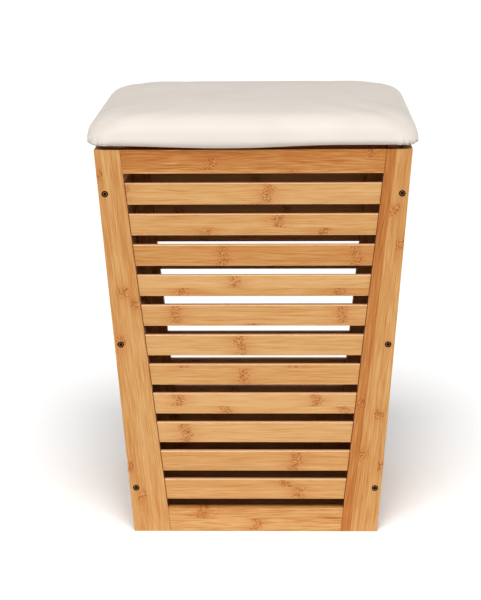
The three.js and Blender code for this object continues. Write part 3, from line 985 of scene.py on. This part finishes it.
STAPLE_LENGTH, STAPLE_WIDTH, STAPLE_RISE = 10 * MM, 1.1 * MM, 0.7 * MM
STAPLE_SUNK = 0.8 * MM  # how far its ends reach into the fabric
STAPLE_BEND = 0.4  # the share of its rise where its ends bend
STAPLE_INSET, STAPLE_SPACING = 21 * MM, 38 * MM
STAPLE_FROM_CORNER = 40 * MM
STAPLE_TURN = 0.12  # radians off straight, at most
STAPLE_SEED = 4
# The wire's section, as distances across it and up.
STAPLE_SECTION = (
    (-STAPLE_WIDTH / 2, 0.0),
    (-STAPLE_WIDTH / 4, -0.25 * MM),
    (STAPLE_WIDTH / 4, -0.25 * MM),
    (STAPLE_WIDTH / 2, 0.0),
    (0, 0.45 * MM),
)


def staple_wire(bm):
    """The vertices of one new wire, lying along X with its ends bent up into the fabric above it."""
    half = STAPLE_LENGTH / 2
    bend = (-half, -STAPLE_RISE * STAPLE_BEND)
    left_end = [(-half, STAPLE_SUNK), bend, (-half + STAPLE_RISE, -STAPLE_RISE)]
    path = left_end + [(-x, z) for x, z in reversed(left_end)]
    made = []
    for x, z in path:
        for y, lift in STAPLE_SECTION:
            made.append(bm.verts.new((x, y, z + lift)))
    sides = len(STAPLE_SECTION)
    for step in range(len(path) - 1):
        for i in range(sides):
            a, b = step * sides + i, step * sides + (i + 1) % sides
            bm.faces.new((made[a], made[a + sides], made[b + sides], made[b]))
    bm.faces.new(made[:sides])
    bm.faces.new(list(reversed(made[-sides:])))
    return made


def add_staples(steel):
    """Wire staples, which hold the hem to the board all round."""
    bm = bmesh.new()
    rng = random.Random(STAPLE_SEED)
    rows = ((half_width, half_depth, 0), (half_depth, half_width, math.pi / 2))
    for half_length, half_across, turn in rows:
        reach, away = half_length - STAPLE_FROM_CORNER, half_across - STAPLE_INSET
        count = int(2 * reach / STAPLE_SPACING) + 1
        for side in (-1, 1):
            for i in range(count):
                along = -reach + 2 * reach * i / (count - 1)
                jitter = Matrix.Rotation(turn + rng.uniform(-STAPLE_TURN, STAPLE_TURN), 4, "Z")
                x, y = (along, side * away) if turn == 0 else (side * away, along)
                to_place = Matrix.Translation((x, y, lid_low.z)) @ jitter
                bmesh.ops.transform(bm, matrix=to_place, verts=staple_wire(bm))
    piece = new_piece("lid_staples", bm)
    put(piece, steel)
    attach(piece, "lid")


# ---------------------------------------------------------------- stage, light and camera

FLOOR_SIZE = 40
FLOOR_COLOUR = srgb(244, 244, 244)
SKY_HEIGHTS = (0.05, 0.55)  # the sky's light grows between these heights (0 level, 1 straight up)
SKY_STRENGTHS = (0.12, 0.34)  # from the first of these strengths to the second
KEY_ELEVATION = math.radians(55)
KEY_SOFTNESS = math.radians(36)
KEY_STRENGTH = 2.97
CAMERA_PLACE = (0.0441, -2.4826, frame_top + 0.3706)
CAMERA_PITCH, CAMERA_TURN, CAMERA_ROLL = math.radians(13.751), math.radians(1.518), math.radians(-0.436)
LENS, SENSOR_WIDTH = 112.48, 36
EXPOSURE = -0.37


def add_floor():
    """A plain pale floor."""
    bpy.ops.mesh.primitive_plane_add(size=FLOOR_SIZE, location=(0, 0, 0))
    floor = bpy.context.object
    floor.name = "floor"
    sh = Shader("pale floor", roughness=0.9)
    sh.colour(FLOOR_COLOUR)
    put(floor, sh.material)


def add_world():
    """A faint white sky that is brighter higher up."""
    world = bpy.data.worlds.new("white studio")
    bpy.context.scene.world = world
    world.use_nodes = True
    tree = world.node_tree
    background = tree.nodes["Background"]
    background.inputs["Color"].default_value = (1, 1, 1, 1)
    direction = tree.nodes.new("ShaderNodeTexCoord").outputs["Generated"]
    split = tree.nodes.new("ShaderNodeSeparateXYZ")
    tree.links.new(direction, split.inputs[0])
    strength = tree.nodes.new("ShaderNodeMapRange")
    tree.links.new(split.outputs[2], strength.inputs[0])
    for socket, value in zip(strength.inputs[1:], SKY_HEIGHTS + SKY_STRENGTHS):
        socket.default_value = value
    tree.links.new(strength.outputs[0], background.inputs["Strength"])


def add_key_light():
    """A broad soft light from far off, straight in front and above."""
    data = bpy.data.lights.new("key", "SUN")
    data.energy = KEY_STRENGTH
    data.angle = KEY_SOFTNESS
    light = bpy.data.objects.new("key", data)
    towards = Vector((0, -math.cos(KEY_ELEVATION), math.sin(KEY_ELEVATION)))
    light.rotation_euler = towards.to_track_quat("Z", "Y").to_euler()
    bpy.context.scene.collection.objects.link(light)


def add_camera():
    """The view from a little above and to the right of the middle, with the horizon almost level."""
    data = bpy.data.cameras.new("camera")
    data.sensor_width = SENSOR_WIDTH
    data.lens = LENS
    camera = bpy.data.objects.new("camera", data)
    bpy.context.scene.collection.objects.link(camera)
    camera.location = CAMERA_PLACE
    look = Matrix.Rotation(CAMERA_TURN, 4, "Z") @ Matrix.Rotation(math.pi / 2 - CAMERA_PITCH, 4, "X")
    camera.rotation_euler = (look @ Matrix.Rotation(CAMERA_ROLL, 4, "Z")).to_euler()
    bpy.context.scene.camera = camera


def set_view():
    """How the light becomes the picture's colours."""
    view = bpy.context.scene.view_settings
    view.view_transform = "Standard"
    view.look = "High Contrast"
    view.exposure = EXPOSURE


# ---------------------------------------------------------------- the whole hamper

dress_body()
dress_boards()
add_corner_screws()
hinge_steel = satin_steel()
dress_hinges(hinge_steel)
add_hinge_screws(hinge_steel)
add_cushion()
add_staples(hinge_steel)

add_floor()
add_world()
add_key_light()
add_camera()
set_view()
